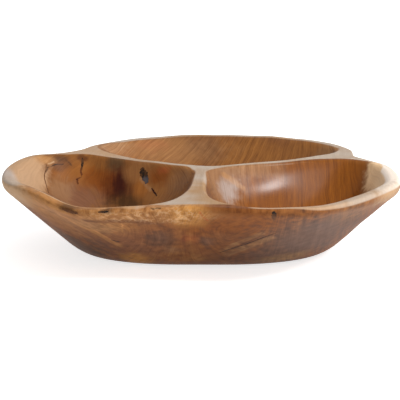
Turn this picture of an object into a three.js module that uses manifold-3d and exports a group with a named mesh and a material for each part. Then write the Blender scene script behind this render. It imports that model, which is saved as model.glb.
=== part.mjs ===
// A divided serving bowl, carved by hand from one block of teak root.
// Three hollows meet at three ridges inside a lobed rim, and the bowl stands on a flat foot.
// Its knots and drying checks are stopped with dark filler, set flush in pockets in the wood.
// Millimetres, +Z up, front towards -Y, origin on the table under the middle of the bowl.

import * as THREE from 'three';
import { mergeVertices } from 'three/addons/utils/BufferGeometryUtils.js';
import Module from 'manifold-3d';

const wasm = await Module();
wasm.setup();

// Heights, walls and ridges
const RIM_HEIGHT = 60;
const RIM_WIDTH = 9; // land between a hollow and the outside of the rim
const FLOOR = 18; // wood under the hollows
const WALL = 9; // wood beside the hollows at the foot, square to the outer wall
const RIDGE_WIDTH = 9;
const RIDGE_SLOPE = 60; // degrees from the table
const FLARE_POWER = 5; // the higher, the nearer to the rim a ridge starts to flare
const LIP_ROUNDING = 3; // where a hollow meets the land, measured in depth
const CORNER_ROUNDING = 22; // where two walls of a hollow meet at its mouth, measured in depth
const CORNER_GROWTH = 0.5; // how fast that rounding grows with depth
const SCOOP_ROUNDING = 28; // where a hollow's walls meet its floor, measured in depth

// Plan of the rim: the reach from the origin is RIM_REACH plus an offset at each bearing.
// At its notch, half of a ridge is wider by the flare.
const RIM_REACH = 145;
const RIGHT_NOTCH = { bearing: 25, offset: -11, flare: 18 };
const LEFT_NOTCH = { bearing: 139, offset: -19, flare: 14 };
const FRONT_NOTCH = { bearing: 267.5, offset: -15, flare: 28 };
const REAR_LOBE = [[35, 1], [50, 8.5], [72, 5.5], [95, 1.5], [117, -7], [130, -12]];
const LEFT_LOBE = [[148, -15], [158, -1], [184, 3], [214, 5], [235, 3], [252, -7]];
const RIGHT_LOBE = [[284, -5], [300, 11], [318, 13], [338, 9], [354, 3.7], [367, 0], [376, -7]];

// The ridges run from the hub to the notches, and each hollow's middle lies between two ridges.
const HUB = new THREE.Vector2(1, 6);
const HOLLOW_REACH = 80; // from the hub to the middle of a hollow

// The foot is flat, with a reach of its own on each side.
const FOOT_LEFT = 90;
const FOOT_RIGHT = 96;
const FOOT_FRONT = 63;
const FOOT_REAR = 74;
const FOOT_SQUARENESS = 2.5; // 2 is an ellipse, more is squarer
const CHINE = 14; // run of the rounding between the foot and the wall

// The rim's upright edge is taller at the two ends, and the rim rises and dips in places.
const EDGE_HEIGHT = 4;
const EDGE_EASE = 5; // run of the rounding between the wall and the edge
const END_EDGES = [{ bearing: -8, rise: 4 }, { bearing: 183, rise: 3 }];
const END_SPREAD = 25; // degrees
const RIM_WAVES = [
  { x: -87, y: -122, spread: 20, rise: -4 },
  { x: -122, y: -82, spread: 26, rise: 3 },
  { x: -58, y: 47, spread: 24, rise: -2 },
];

// Filler: each stop follows a path of [bearing, drop below the rim] on a wall, widest at its middle.
// Inside a hollow the bearing is seen from the hollow's middle, and outside from the origin.
const FILL_GAP = 0.3; // clearance between the filler and its pocket
const FILL_PROUD = 4; // reach of an uncut stop above the wood
const FILL_FOOT = 0.6; // a stop's width at its root, as a share of its width at the face
const FILL_END = 0.4; // a stop's width at its ends, as a share of its greatest width
const STOPS = [
  { name: 'knot_fill', hollow: 'left', width: 7, depth: 6, path: [[66.5, 4.5], [62.5, 9], [58, 14.5]] },
  { name: 'knot_tail_fill', hollow: 'left', width: 3, depth: 4, path: [[52, 17.5], [48, 20], [43.5, 22.3]] },
  { name: 'wall_check_fill', hollow: 'left', width: 2.6, depth: 4, path: [[103, 2.5], [103.3, 6], [104, 10]] },
  {
    name: 'bark_seam_fill',
    hollow: 'left',
    width: 1.8,
    depth: 3.5,
    path: [[122, 5.6], [124, 9.2], [127.5, 12.2], [131.5, 17.8], [135.5, 21.5]],
  },
  { name: 'rim_pocket_fill', width: 5, depth: 4, path: [[230.3, 1.8], [232.5, 2.2], [235.3, 2.8]] },
  { name: 'rim_chip_fill', width: 3, depth: 3, path: [[241.2, 1.8], [242.6, 1.8], [244, 1.8]] },
  { name: 'rim_knot_fill', width: 5, depth: 5, path: [[290, 1.5], [290.2, 4], [290.7, 8]] },
  { name: 'side_check_fill', width: 2, depth: 3, path: [[234.9, 32.6], [236.2, 33.6], [237.6, 34.3]] },
  {
    name: 'side_split_fill',
    width: 1.8,
    depth: 4,
    path: [[279.5, 43.5], [283.8, 39.4], [287.4, 35.5], [291, 30], [295, 22.5]],
  },
];

// Facets
const RIDGE_STEPS = 11;
const RIM_STEPS = 32; // between two notches
const HOLLOW_RINGS = [0.3, 0.55, 0.72, 0.83, 0.9, 0.95, 0.985, 1]; // shares of the way to the lip
const LAND_RINGS = [0.2, 0.55, 1]; // shares of the way from the lip to the edge of the land
const BEND_STEPS = 3; // in each rounding of the outer profile
const WALL_STEPS = 2;
const STOP_STEPS = 3; // along each leg of a stop's path
const BISECTIONS = 40;
const PROBE = 0.01; // step of a finite difference
const WELD = 1e-3; // points nearer than this are one

const teak = new THREE.MeshStandardMaterial({ color: 0xa06c42, roughness: 0.5, metalness: 0 });
const filler = new THREE.MeshStandardMaterial({ color: 0x2b221d, roughness: 0.35, metalness: 0 });

const radians = THREE.MathUtils.degToRad;
const notchPoint = ({ bearing, offset }) => [bearing, offset];
const RIM_PLAN = [
  notchPoint(RIGHT_NOTCH),
  ...REAR_LOBE,
  notchPoint(LEFT_NOTCH),
  ...LEFT_LOBE,
  notchPoint(FRONT_NOTCH),
  ...RIGHT_LOBE,
];

// A bearing's angle past the first point of the rim's plan, from 0 to 360 degrees.
function pastStart(bearing) {
  return THREE.MathUtils.euclideanModulo(bearing - RIM_PLAN[0][0], 360);
}

// Point i of the rim's plan, counted on round the rim past either end of the list.
function planPoint(i) {
  const turns = Math.floor(i / RIM_PLAN.length);
  const [bearing, offset] = RIM_PLAN[i - turns * RIM_PLAN.length];
  return { at: bearing - RIM_PLAN[0][0] + turns * 360, offset };
}

function planSlope(i) {
  const before = planPoint(i - 1);
  const after = planPoint(i + 1);
  return (after.offset - before.offset) / (after.at - before.at);
}

// Reach of the rim at a bearing, on a smooth closed curve through the points of its plan.
function rimReach(bearing) {
  const at = pastStart(bearing);
  let i = 0;
  while (planPoint(i + 1).at <= at) i++;
  const from = planPoint(i);
  const to = planPoint(i + 1);
  const run = to.at - from.at;
  const t = (at - from.at) / run;
  const rise = t * t * (3 - 2 * t);
  const leave = t * (1 - t) * (1 - t) * run * planSlope(i);
  const arrive = t * t * (t - 1) * run * planSlope(i + 1);
  return RIM_REACH + from.offset + (to.offset - from.offset) * rise + leave + arrive;
}

// Reach of the foot's edge at a bearing, before its rounding.
function footReach(bearing) {
  const c = Math.cos(radians(bearing));
  const s = Math.sin(radians(bearing));
  const across = Math.abs(c) / (c > 0 ? FOOT_RIGHT : FOOT_LEFT);
  const along = Math.abs(s) / (s > 0 ? FOOT_REAR : FOOT_FRONT);
  return (across ** FOOT_SQUARENESS + along ** FOOT_SQUARENESS) ** (-1 / FOOT_SQUARENESS);
}

function edgeHeight(bearing) {
  return END_EDGES.reduce((height, end) => {
    const off = THREE.MathUtils.euclideanModulo(bearing - end.bearing + 180, 360) - 180;
    return height + end.rise * Math.exp(-0.5 * (off / END_SPREAD) ** 2);
  }, EDGE_HEIGHT);
}

// Rise of the outer wall over its run, between the foot and the upright edge.
function wallSlope(bearing) {
  return (RIM_HEIGHT - edgeHeight(bearing)) / (rimReach(bearing) - footReach(bearing));
}

// How much the rim's rises and dips stretch the heights at a place.
function heightScale(x, y) {
  return RIM_WAVES.reduce((scale, wave) => {
    const far = (x - wave.x) ** 2 + (y - wave.y) ** 2;
    return scale + (wave.rise / RIM_HEIGHT) * Math.exp((-0.5 * far) / wave.spread ** 2);
  }, 1);
}

function smoothMinimum(a, b, rounding) {
  const share = Math.max(rounding - Math.abs(a - b), 0) / rounding;
  return Math.min(a, b) - (share * share * rounding) / 4;
}

// Depth where two walls of a hollow meet in a corner that is rounder the deeper it is.
function cornerDepth(a, b) {
  return smoothMinimum(a, b, CORNER_ROUNDING + CORNER_GROWTH * Math.max(Math.min(a, b), 0));
}

// Depth of a hollow with its lip rounded over.
function roundedDepth(depth) {
  if (depth <= -LIP_ROUNDING) return 0;
  if (depth >= LIP_ROUNDING) return depth;
  return (depth + LIP_ROUNDING) ** 2 / (4 * LIP_ROUNDING);
}

// A ridge from the hub to a notch, with unit vectors along it and across it to its left.
function ridgeTo(notch) {
  const reach = RIM_REACH + notch.offset;
  const angle = radians(notch.bearing);
  const end = new THREE.Vector2(reach * Math.cos(angle), reach * Math.sin(angle));
  const run = end.sub(HUB);
  const along = run.clone().normalize();
  return { notch, length: run.length(), along, across: new THREE.Vector2(-along.y, along.x) };
}

// Half of a ridge's width beside a place, given from the hub.
function halfRidge({ notch, length, along }, place) {
  const share = Math.max(place.dot(along), 0) / length;
  return RIDGE_WIDTH / 2 + notch.flare * share ** FLARE_POWER;
}

const RIDGES = [RIGHT_NOTCH, LEFT_NOTCH, FRONT_NOTCH].map(ridgeTo);

// The hollow between a ridge on its right side and the next ridge round the hub.
function hollowAfter(i) {
  const right = RIDGES[i];
  const left = RIDGES[(i + 1) % RIDGES.length];
  const between = right.along.clone().add(left.along).normalize();
  return { right, left, middle: HUB.clone().addScaledVector(between, HOLLOW_REACH) };
}

const HOLLOWS = { rear: hollowAfter(0), left: hollowAfter(1), right: hollowAfter(2) };

// Depth that the rim's wall leaves a hollow at a place.
function wallDepth(x, y) {
  const bearing = THREE.MathUtils.radToDeg(Math.atan2(y, x));
  const slope = wallSlope(bearing);
  const inset = (WALL * Math.hypot(1, slope) - FLOOR) / slope; // of the hollow's floor from the foot's edge
  const mouth = rimReach(bearing) - RIM_WIDTH;
  const run = mouth - footReach(bearing) + inset;
  return ((mouth - Math.hypot(x, y)) * (RIM_HEIGHT - FLOOR)) / run;
}

// Depth of a hollow below the rim at a place, before its lip is rounded: negative outside its mouth.
function hollowDepth(hollow, x, y) {
  const flank = Math.tan(radians(RIDGE_SLOPE));
  const place = new THREE.Vector2(x, y).sub(HUB);
  const fromRight = (place.dot(hollow.right.across) - halfRidge(hollow.right, place)) * flank;
  const fromLeft = (-place.dot(hollow.left.across) - halfRidge(hollow.left, place)) * flank;
  const walls = cornerDepth(cornerDepth(fromRight, fromLeft), wallDepth(x, y));
  return smoothMinimum(walls, RIM_HEIGHT - FLOOR, SCOOP_ROUNDING);
}

// Height of the bowl's upper side: the land and ridges less what the hollows take.
function upperHeight(x, y) {
  const taken = Object.values(HOLLOWS).map((hollow) => roundedDepth(hollowDepth(hollow, x, y)));
  return heightScale(x, y) * (RIM_HEIGHT - taken.reduce((sum, depth) => sum + depth, 0));
}

function upperPoint(x, y) {
  return new THREE.Vector3(x, y, upperHeight(x, y));
}

// Share of the way from a hollow's middle to a place at which the hollow has a depth.
function shareAtDepth(hollow, x, y, depth) {
  let inside = 0;
  let outside = 1;
  for (let i = 0; i < BISECTIONS; i++) {
    const share = (inside + outside) / 2;
    const at = hollow.middle.clone().lerp(new THREE.Vector2(x, y), share);
    if (hollowDepth(hollow, at.x, at.y) > depth) inside = share;
    else outside = share;
  }
  return inside;
}

// Points of a rounded corner, from one point past the next to a third, without the first.
function bend(from, corner, to) {
  const curve = new THREE.QuadraticBezierCurve(from, corner, to);
  return curve.getPoints(BEND_STEPS).slice(1);
}

// Outer profile at a bearing, as reach and height, from the edge of the land down to the foot.
function outerProfile(bearing) {
  const rim = rimReach(bearing);
  const edge = edgeHeight(bearing);
  const foot = new THREE.Vector2(footReach(bearing), 0);
  const brow = new THREE.Vector2(rim, RIM_HEIGHT - edge);
  const down = foot.clone().sub(brow).normalize();
  const land = new THREE.Vector2(rim - edge / 2, RIM_HEIGHT);
  const edgeMiddle = new THREE.Vector2(rim, RIM_HEIGHT - edge / 2);
  const wallTop = brow.clone().addScaledVector(down, EDGE_EASE);
  const wallFoot = foot.clone().addScaledVector(down, -CHINE);
  const footFlat = new THREE.Vector2(foot.x - CHINE, 0);
  const wall = new THREE.LineCurve(wallTop, wallFoot).getPoints(WALL_STEPS).slice(1);
  return [
    land,
    ...bend(land, new THREE.Vector2(rim, RIM_HEIGHT), edgeMiddle),
    ...bend(edgeMiddle, brow, wallTop),
    ...wall,
    ...bend(wallFoot, foot, footFlat),
  ];
}

// The outer profile as points, whose first lies on the upper side.
function outerColumn(bearing) {
  const angle = radians(bearing);
  const column = outerProfile(bearing).map((at) => {
    const x = at.x * Math.cos(angle);
    const y = at.x * Math.sin(angle);
    return new THREE.Vector3(x, y, at.y * heightScale(x, y));
  });
  const [land] = column;
  land.z = upperHeight(land.x, land.y);
  return column;
}

// Bearings round the rim from one notch to the next, with both notches.
function bearingsBetween(right, left) {
  const run = THREE.MathUtils.euclideanModulo(left.bearing - right.bearing, 360);
  return Array.from({ length: RIM_STEPS + 1 }, (_, i) => right.bearing + (run * i) / RIM_STEPS);
}

// Points along a ridge from the hub to its notch, without the notch.
function ridgePoints(ridge) {
  const [end] = outerColumn(ridge.notch.bearing);
  const tip = new THREE.Vector2(end.x, end.y);
  return Array.from({ length: RIDGE_STEPS }, (_, i) => HUB.clone().lerp(tip, i / RIDGE_STEPS));
}

// Triangles between two rows of points, which close on themselves when they are rings.
function addStrip(triangles, upper, lower, closed) {
  const last = closed ? upper.length : upper.length - 1;
  for (let i = 0; i < last; i++) {
    const next = (i + 1) % upper.length;
    triangles.push(upper[i], lower[i], lower[next], upper[i], lower[next], upper[next]);
  }
}

function addFan(triangles, apex, ring) {
  ring.forEach((point, i) => triangles.push(apex, point, ring[(i + 1) % ring.length]));
}

// One hollow with its share of the land, out to the middles of its ridges and the edge of the land.
function addHollow(triangles, hollow) {
  const rim = bearingsBetween(hollow.right.notch, hollow.left.notch).map((bearing) => {
    const [land] = outerColumn(bearing);
    return new THREE.Vector2(land.x, land.y);
  });
  const [, ...backToHub] = ridgePoints(hollow.left);
  const border = [...ridgePoints(hollow.right), ...rim, ...backToHub.reverse()];
  const lips = border.map((to) => shareAtDepth(hollow, to.x, to.y, 0));
  const ringAt = (shareOf) =>
    border.map((to, i) => {
      const at = hollow.middle.clone().lerp(to, shareOf(lips[i]));
      return upperPoint(at.x, at.y);
    });
  const rings = [
    ...HOLLOW_RINGS.map((share) => ringAt((lip) => share * lip)),
    ...LAND_RINGS.map((share) => ringAt((lip) => lip + share * (1 - lip))),
  ];
  addFan(triangles, upperPoint(hollow.middle.x, hollow.middle.y), rings[0]);
  rings.slice(1).forEach((ring, i) => addStrip(triangles, rings[i], ring, true));
}

// The outside, from the edge of the land to the middle of the foot.
function addOutside(triangles) {
  const columns = Object.values(HOLLOWS).flatMap((hollow) =>
    bearingsBetween(hollow.right.notch, hollow.left.notch).slice(0, -1).map(outerColumn),
  );
  const rings = columns[0].map((_, level) => columns.map((column) => column[level]));
  rings.slice(1).forEach((ring, i) => addStrip(triangles, rings[i], ring, true));
  addFan(triangles, new THREE.Vector3(0, 0, 0), rings.at(-1).toReversed());
}

function solidFrom(triangles) {
  const welded = mergeVertices(new THREE.BufferGeometry().setFromPoints(triangles), WELD);
  return new wasm.Manifold(
    new wasm.Mesh({
      numProp: 3,
      vertProperties: welded.attributes.position.array,
      triVerts: new Uint32Array(welded.index.array),
    }),
  );
}

function carvedBlock() {
  const triangles = [];
  Object.values(HOLLOWS).forEach((hollow) => addHollow(triangles, hollow));
  addOutside(triangles);
  return solidFrom(triangles);
}

// Place and outward normal on a hollow's wall.
function insidePlace(hollow, bearing, drop) {
  const angle = radians(bearing);
  const far = RIM_REACH * 2;
  const x = hollow.middle.x + far * Math.cos(angle);
  const y = hollow.middle.y + far * Math.sin(angle);
  const share = shareAtDepth(hollow, x, y, drop);
  const at = hollow.middle.clone().lerp(new THREE.Vector2(x, y), share);
  const point = upperPoint(at.x, at.y);
  const eastward = upperHeight(at.x + PROBE, at.y) - point.z;
  const northward = upperHeight(at.x, at.y + PROBE) - point.z;
  return { point, normal: new THREE.Vector3(-eastward, -northward, PROBE).normalize() };
}

// Point on the outer wall, or on the upright edge above it.
function outsidePoint(bearing, drop) {
  const angle = radians(bearing);
  const height = RIM_HEIGHT - drop;
  const reach = Math.min(footReach(bearing) + height / wallSlope(bearing), rimReach(bearing));
  const x = reach * Math.cos(angle);
  const y = reach * Math.sin(angle);
  return new THREE.Vector3(x, y, height * heightScale(x, y));
}

function outsidePlace(bearing, drop) {
  const point = outsidePoint(bearing, drop);
  const round = outsidePoint(bearing + PROBE, drop).sub(point);
  const upward = outsidePoint(bearing, drop - PROBE).sub(point);
  return { point, normal: round.cross(upward).normalize() };
}

// Places along a stop's path, on the wall that it lies in.
function stopPlaces({ hollow, path }) {
  const route = new THREE.SplineCurve(path.map(([bearing, drop]) => new THREE.Vector2(bearing, drop)));
  const placeAt = ({ x: bearing, y: drop }) =>
    hollow ? insidePlace(HOLLOWS[hollow], bearing, drop) : outsidePlace(bearing, drop);
  return route.getPoints(STOP_STEPS * (path.length - 1)).map(placeAt);
}

// Corners of a stop's section, from its face down to its root.
function stopSection(centre, across, normal, half, root, clearance) {
  const corner = (width, height) =>
    centre.clone().addScaledVector(across, width).addScaledVector(normal, height);
  const face = half + clearance;
  const foot = half * FILL_FOOT + clearance;
  return [corner(face, FILL_PROUD), corner(-face, FILL_PROUD), corner(-foot, -root), corner(foot, -root)];
}

// The way out of a stop's pocket: square to a hollow's wall, and level outside, clear of the land above.
function stopNormal({ hollow }, places) {
  const normal = places.reduce((sum, place) => sum.add(place.normal), new THREE.Vector3());
  if (!hollow) normal.setZ(0);
  return normal.normalize();
}

// A stop's uncut wedge, made larger all round by a clearance.
function stopWedge(stop, clearance) {
  const places = stopPlaces(stop);
  const last = places.length - 1;
  const normal = stopNormal(stop, places);
  const rows = places.map(({ point }, i) => {
    const before = places[Math.max(i - 1, 0)].point;
    const after = places[Math.min(i + 1, last)].point;
    const along = after.clone().sub(before).normalize();
    const across = normal.clone().cross(along).normalize();
    const swell = FILL_END + (1 - FILL_END) * Math.sin((Math.PI * i) / last);
    const end = i === 0 ? -clearance : i === last ? clearance : 0;
    const centre = point.clone().addScaledVector(along, end);
    return stopSection(centre, across, normal, (stop.width * swell) / 2, stop.depth + clearance, clearance);
  });
  const triangles = [];
  rows.slice(1).forEach((row, i) => addStrip(triangles, row, rows[i], true));
  const [start] = rows;
  const finish = rows[last];
  addStrip(triangles, [start[1], start[2]], [start[0], start[3]], false);
  addStrip(triangles, [finish[0], finish[3]], [finish[1], finish[2]], false);
  return solidFrom(triangles);
}

function meshOf(name, solid, material) {
  const { vertProperties, triVerts } = solid.getMesh();
  const geometry = new THREE.BufferGeometry();
  geometry.setAttribute('position', new THREE.BufferAttribute(vertProperties, 3));
  geometry.setIndex(new THREE.BufferAttribute(triVerts, 1));
  geometry.computeVertexNormals();
  const mesh = new THREE.Mesh(geometry, material.clone());
  mesh.name = name;
  return mesh;
}

const block = carvedBlock();
const pocketed = STOPS.reduce((wood, stop) => wood.subtract(stopWedge(stop, FILL_GAP)), block);

const bowl = new THREE.Group();
bowl.name = 'divided_bowl';
bowl.add(meshOf('carved_body', pocketed, teak));
STOPS.forEach((stop) => bowl.add(meshOf(stop.name, stopWedge(stop, 0).intersect(block), filler)));

export default bowl;
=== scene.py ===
# A divided serving bowl of teak root: fine meshes, materials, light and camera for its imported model.
# Metres, +Z up, front towards -Y. Shapes are worked out in millimetres, from the values of the solids.

import math
from collections import Counter
from types import SimpleNamespace

import bmesh
import bpy
import numpy as np
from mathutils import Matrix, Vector


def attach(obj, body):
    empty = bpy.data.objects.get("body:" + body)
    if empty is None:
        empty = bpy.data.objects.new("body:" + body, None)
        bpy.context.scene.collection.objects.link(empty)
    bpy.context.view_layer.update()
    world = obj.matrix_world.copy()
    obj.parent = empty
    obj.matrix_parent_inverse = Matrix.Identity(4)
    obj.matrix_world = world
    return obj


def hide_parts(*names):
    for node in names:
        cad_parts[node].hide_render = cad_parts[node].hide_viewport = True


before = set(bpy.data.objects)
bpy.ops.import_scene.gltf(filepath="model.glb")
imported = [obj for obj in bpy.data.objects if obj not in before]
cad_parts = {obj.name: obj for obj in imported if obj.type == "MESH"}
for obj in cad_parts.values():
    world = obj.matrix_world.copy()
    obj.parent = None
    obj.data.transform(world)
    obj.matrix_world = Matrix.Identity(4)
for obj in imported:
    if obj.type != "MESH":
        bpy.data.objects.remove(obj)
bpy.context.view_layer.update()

MM = 0.001
VIEW_ELEVATION = 13.8  # angle above the table from which the bowl is seen, in degrees

# Heights, walls and ridges
RIM_HEIGHT = 60
RIM_WIDTH = 9
FLOOR = 18
WALL = 9
RIDGE_WIDTH = 9
RIDGE_SLOPE = 60
FLARE_POWER = 5
LIP_ROUNDING = 3
CORNER_ROUNDING = 22
CORNER_GROWTH = 0.5
SCOOP_ROUNDING = 28

# Plan of the rim: bearing in degrees, and offset from RIM_REACH.
# A ridge widens by its flare on each side, up to its notch.
RIM_REACH = 145
RIGHT_NOTCH = (25, -11)
LEFT_NOTCH = (139, -19)
FRONT_NOTCH = (267.5, -15)
FLARES = [18, 14, 28]
REAR_LOBE = [(35, 1), (50, 8.5), (72, 5.5), (95, 1.5), (117, -7), (130, -12)]
LEFT_LOBE = [(148, -15), (158, -1), (184, 3), (214, 5), (235, 3), (252, -7)]
RIGHT_LOBE = [(284, -5), (300, 11), (318, 13), (338, 9), (354, 3.7), (367, 0), (376, -7)]
RIM_PLAN = [RIGHT_NOTCH, *REAR_LOBE, LEFT_NOTCH, *LEFT_LOBE, FRONT_NOTCH, *RIGHT_LOBE]

# Where the ridges meet, and how far from there the middle of each hollow lies
HUB = np.array([1.0, 6.0])
HOLLOW_REACH = 80

# Foot, chine and upright edge of the rim. At both ends, given by their bearings, the edge is higher.
FOOT_LEFT = 90
FOOT_RIGHT = 96
FOOT_FRONT = 63
FOOT_REAR = 74
FOOT_SQUARENESS = 2.5
CHINE = 14
EDGE_HEIGHT = 4
EDGE_EASE = 5
END_EDGES = [(-8, 4), (183, 3)]
END_SPREAD = 25

# Where the rim rises and dips: place, spread and rise
RIM_WAVES = [(-87, -122, 20, -4), (-122, -82, 26, 3), (-58, 47, 24, -2)]

# A slight rise of the rim that is carved only here, at the front right
RIM_RISE = (124, -85, 32, 3)

# Fineness of the meshes. Rows of points crowd towards the lips of the hollows.
RIDGE_STEPS = 50
RIM_STEPS = 130
HOLLOW_STEPS = 50
LAND_STEPS = 12
BEND_STEPS = 9
WALL_STEPS = 26
FOOT_STEPS = 10
BISECTIONS = 40
HOLLOW_CROWDING = 1.5
LAND_CROWDING = 1.3
WELD_DIGITS = 4


def ease(value, low, high):
    share = np.clip((value - low) / (high - low), 0, 1)
    return share * share * (3 - 2 * share)


def rim_reach(bearing):
    """Reach of the rim at a bearing, on a smooth closed curve through the points of its plan."""
    plan = np.array(RIM_PLAN, float)
    at = np.concatenate([plan[:, 0] - 360, plan[:, 0], plan[:, 0] + 360])
    offset = np.tile(plan[:, 1], 3)
    slope = np.zeros_like(offset)
    slope[1:-1] = (offset[2:] - offset[:-2]) / (at[2:] - at[:-2])
    turned = np.mod(bearing - plan[0, 0], 360) + plan[0, 0]
    i = np.searchsorted(at, turned, side="right") - 1
    run = at[i + 1] - at[i]
    t = (turned - at[i]) / run
    rise = (offset[i + 1] - offset[i]) * t * t * (3 - 2 * t)
    leave = t * (1 - t) ** 2 * run * slope[i]
    arrive = t * t * (t - 1) * run * slope[i + 1]
    return RIM_REACH + offset[i] + rise + leave + arrive


def foot_reach(bearing):
    """Reach of the foot's edge at a bearing, before its rounding."""
    c, s = np.cos(np.radians(bearing)), np.sin(np.radians(bearing))
    across = np.abs(c) / np.where(c > 0, FOOT_RIGHT, FOOT_LEFT)
    along = np.abs(s) / np.where(s > 0, FOOT_REAR, FOOT_FRONT)
    return (across**FOOT_SQUARENESS + along**FOOT_SQUARENESS) ** (-1 / FOOT_SQUARENESS)


def edge_height(bearing):
    height = np.full_like(bearing, EDGE_HEIGHT, dtype=float)
    for end, rise in END_EDGES:
        off = np.mod(bearing - end + 180, 360) - 180
        height += rise * np.exp(-0.5 * (off / END_SPREAD) ** 2)
    return height


def height_scale(x, y):
    """How much the rim's rises and dips stretch the heights at a place."""
    scale = np.ones_like(x)
    for wave_x, wave_y, spread, rise in [*RIM_WAVES, RIM_RISE]:
        far = (x - wave_x) ** 2 + (y - wave_y) ** 2
        scale += rise / RIM_HEIGHT * np.exp(-0.5 * far / spread**2)
    return scale


def smooth_minimum(a, b, rounding):
    share = np.maximum(rounding - np.abs(a - b), 0) / rounding
    return np.minimum(a, b) - share * share * rounding / 4


def corner_depth(a, b):
    return smooth_minimum(a, b, CORNER_ROUNDING + CORNER_GROWTH * np.maximum(np.minimum(a, b), 0))


def rounded_depth(depth):
    """Depth of a hollow with its lip rounded over."""
    lip = np.clip(depth + LIP_ROUNDING, 0, 2 * LIP_ROUNDING) ** 2 / (4 * LIP_ROUNDING)
    return np.where(depth > LIP_ROUNDING, depth, lip)


NOTCHES = [RIGHT_NOTCH, LEFT_NOTCH, FRONT_NOTCH]
HOLLOWS = range(3)  # each hollow lies between the ridge of its number and the next one
REAR, LEFT, RIGHT = HOLLOWS


def ridge_run(ridge):
    """The way from the hub to a ridge's notch."""
    bearing, offset = NOTCHES[ridge]
    angle = math.radians(bearing)
    return (RIM_REACH + offset) * np.array([math.cos(angle), math.sin(angle)]) - HUB


def beside_ridge(ridge, x, y):
    """Distance of places to the left of a ridge's middle, and half of its width there."""
    run = ridge_run(ridge)
    length = np.linalg.norm(run)
    along = ((x - HUB[0]) * run[0] + (y - HUB[1]) * run[1]) / length
    across = ((y - HUB[1]) * run[0] - (x - HUB[0]) * run[1]) / length
    return across, RIDGE_WIDTH / 2 + FLARES[ridge] * (np.maximum(along, 0) / length) ** FLARE_POWER


def hollow_middle(hollow):
    right, left = ridge_run(hollow), ridge_run((hollow + 1) % len(NOTCHES))
    between = right / np.linalg.norm(right) + left / np.linalg.norm(left)
    return HUB + HOLLOW_REACH * between / np.linalg.norm(between)


def hollow_depth(hollow, x, y):
    """Depth of a hollow below the rim, before its lip is rounded: negative outside its mouth."""
    bearing = np.degrees(np.arctan2(y, x))
    slope = (RIM_HEIGHT - edge_height(bearing)) / (rim_reach(bearing) - foot_reach(bearing))
    inset = (WALL * np.hypot(1, slope) - FLOOR) / slope
    mouth = rim_reach(bearing) - RIM_WIDTH
    run = mouth - foot_reach(bearing) + inset
    from_rim = (mouth - np.hypot(x, y)) * (RIM_HEIGHT - FLOOR) / run
    flank = math.tan(math.radians(RIDGE_SLOPE))
    right_off, right_half = beside_ridge(hollow, x, y)
    left_off, left_half = beside_ridge((hollow + 1) % len(NOTCHES), x, y)
    flanks = corner_depth((right_off - right_half) * flank, (-left_off - left_half) * flank)
    walls = corner_depth(flanks, from_rim)
    return smooth_minimum(walls, RIM_HEIGHT - FLOOR, SCOOP_ROUNDING)


def upper_height(x, y):
    taken = sum(rounded_depth(hollow_depth(hollow, x, y)) for hollow in HOLLOWS)
    return height_scale(x, y) * (RIM_HEIGHT - taken)


def bend(start, corner, end):
    """Points of a rounded corner, as rows of reach and height, without the first."""
    t = np.linspace(0, 1, BEND_STEPS + 1)[1:, None, None]
    return start * (1 - t) ** 2 + corner * 2 * t * (1 - t) + end * t * t


def outer_columns(bearing):
    """Points of the outside at some bearings, in rings from the land's edge to the middle of the foot."""
    rim, edge, zero = rim_reach(bearing), edge_height(bearing), np.zeros_like(bearing)
    foot = np.stack([foot_reach(bearing), zero])
    brow = np.stack([rim, RIM_HEIGHT - edge])
    down = (foot - brow) / np.linalg.norm(foot - brow, axis=0)
    land = np.stack([rim - edge / 2, zero + RIM_HEIGHT])
    edge_middle = np.stack([rim, RIM_HEIGHT - edge / 2])
    wall_top = brow + down * EDGE_EASE
    wall_foot = foot - down * CHINE
    foot_flat = foot - np.stack([zero + CHINE, zero])
    top = np.stack([rim, zero + RIM_HEIGHT])
    walls = [wall_top + (wall_foot - wall_top) * t for t in np.linspace(0, 1, WALL_STEPS + 1)[1:]]
    floors = [foot_flat * t for t in np.linspace(1, 0, FOOT_STEPS + 1)[1:-1]]
    rings = np.concatenate([
        land[None],
        bend(land, top, edge_middle),
        bend(edge_middle, brow, wall_top),
        walls,
        bend(wall_foot, foot, foot_flat),
        floors,
    ])
    x = rings[:, 0] * np.cos(np.radians(bearing))
    y = rings[:, 0] * np.sin(np.radians(bearing))
    points = np.stack([x, y, rings[:, 1] * height_scale(x, y)], axis=-1)
    points[0, :, 2] = upper_height(x[0], y[0])
    return points


def bearings_after(hollow):
    """Bearings round the rim from a hollow's right notch to its left one, with both."""
    start, end = NOTCHES[hollow][0], NOTCHES[(hollow + 1) % len(NOTCHES)][0]
    return start + np.linspace(0, 1, RIM_STEPS + 1) * ((end - start) % 360)


def share_at_depth(hollow, to, depth):
    """Share of the way from a hollow's middle to some places at which the hollow has a depth."""
    inside, outside = np.zeros(len(to)), np.ones(len(to))
    middle = hollow_middle(hollow)
    for _ in range(BISECTIONS):
        share = (inside + outside) / 2
        at = middle + (to - middle) * share[:, None]
        deeper = hollow_depth(hollow, at[:, 0], at[:, 1]) > depth
        inside, outside = np.where(deeper, share, inside), np.where(deeper, outside, share)
    return inside


def strip_faces(rows, columns, first):
    """Quads of a grid of points that closes round its columns."""
    row, column = np.meshgrid(np.arange(rows - 1), np.arange(columns), indexing="ij")
    following = (column + 1) % columns
    corners = [row * columns + column, (row + 1) * columns + column]
    corners += [(row + 1) * columns + following, row * columns + following]
    return (np.stack(corners, axis=-1).reshape(-1, 4) + first).tolist()


def fan_faces(apex, ring):
    return [[apex, ring[i], ring[(i + 1) % len(ring)]] for i in range(len(ring))]


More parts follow.
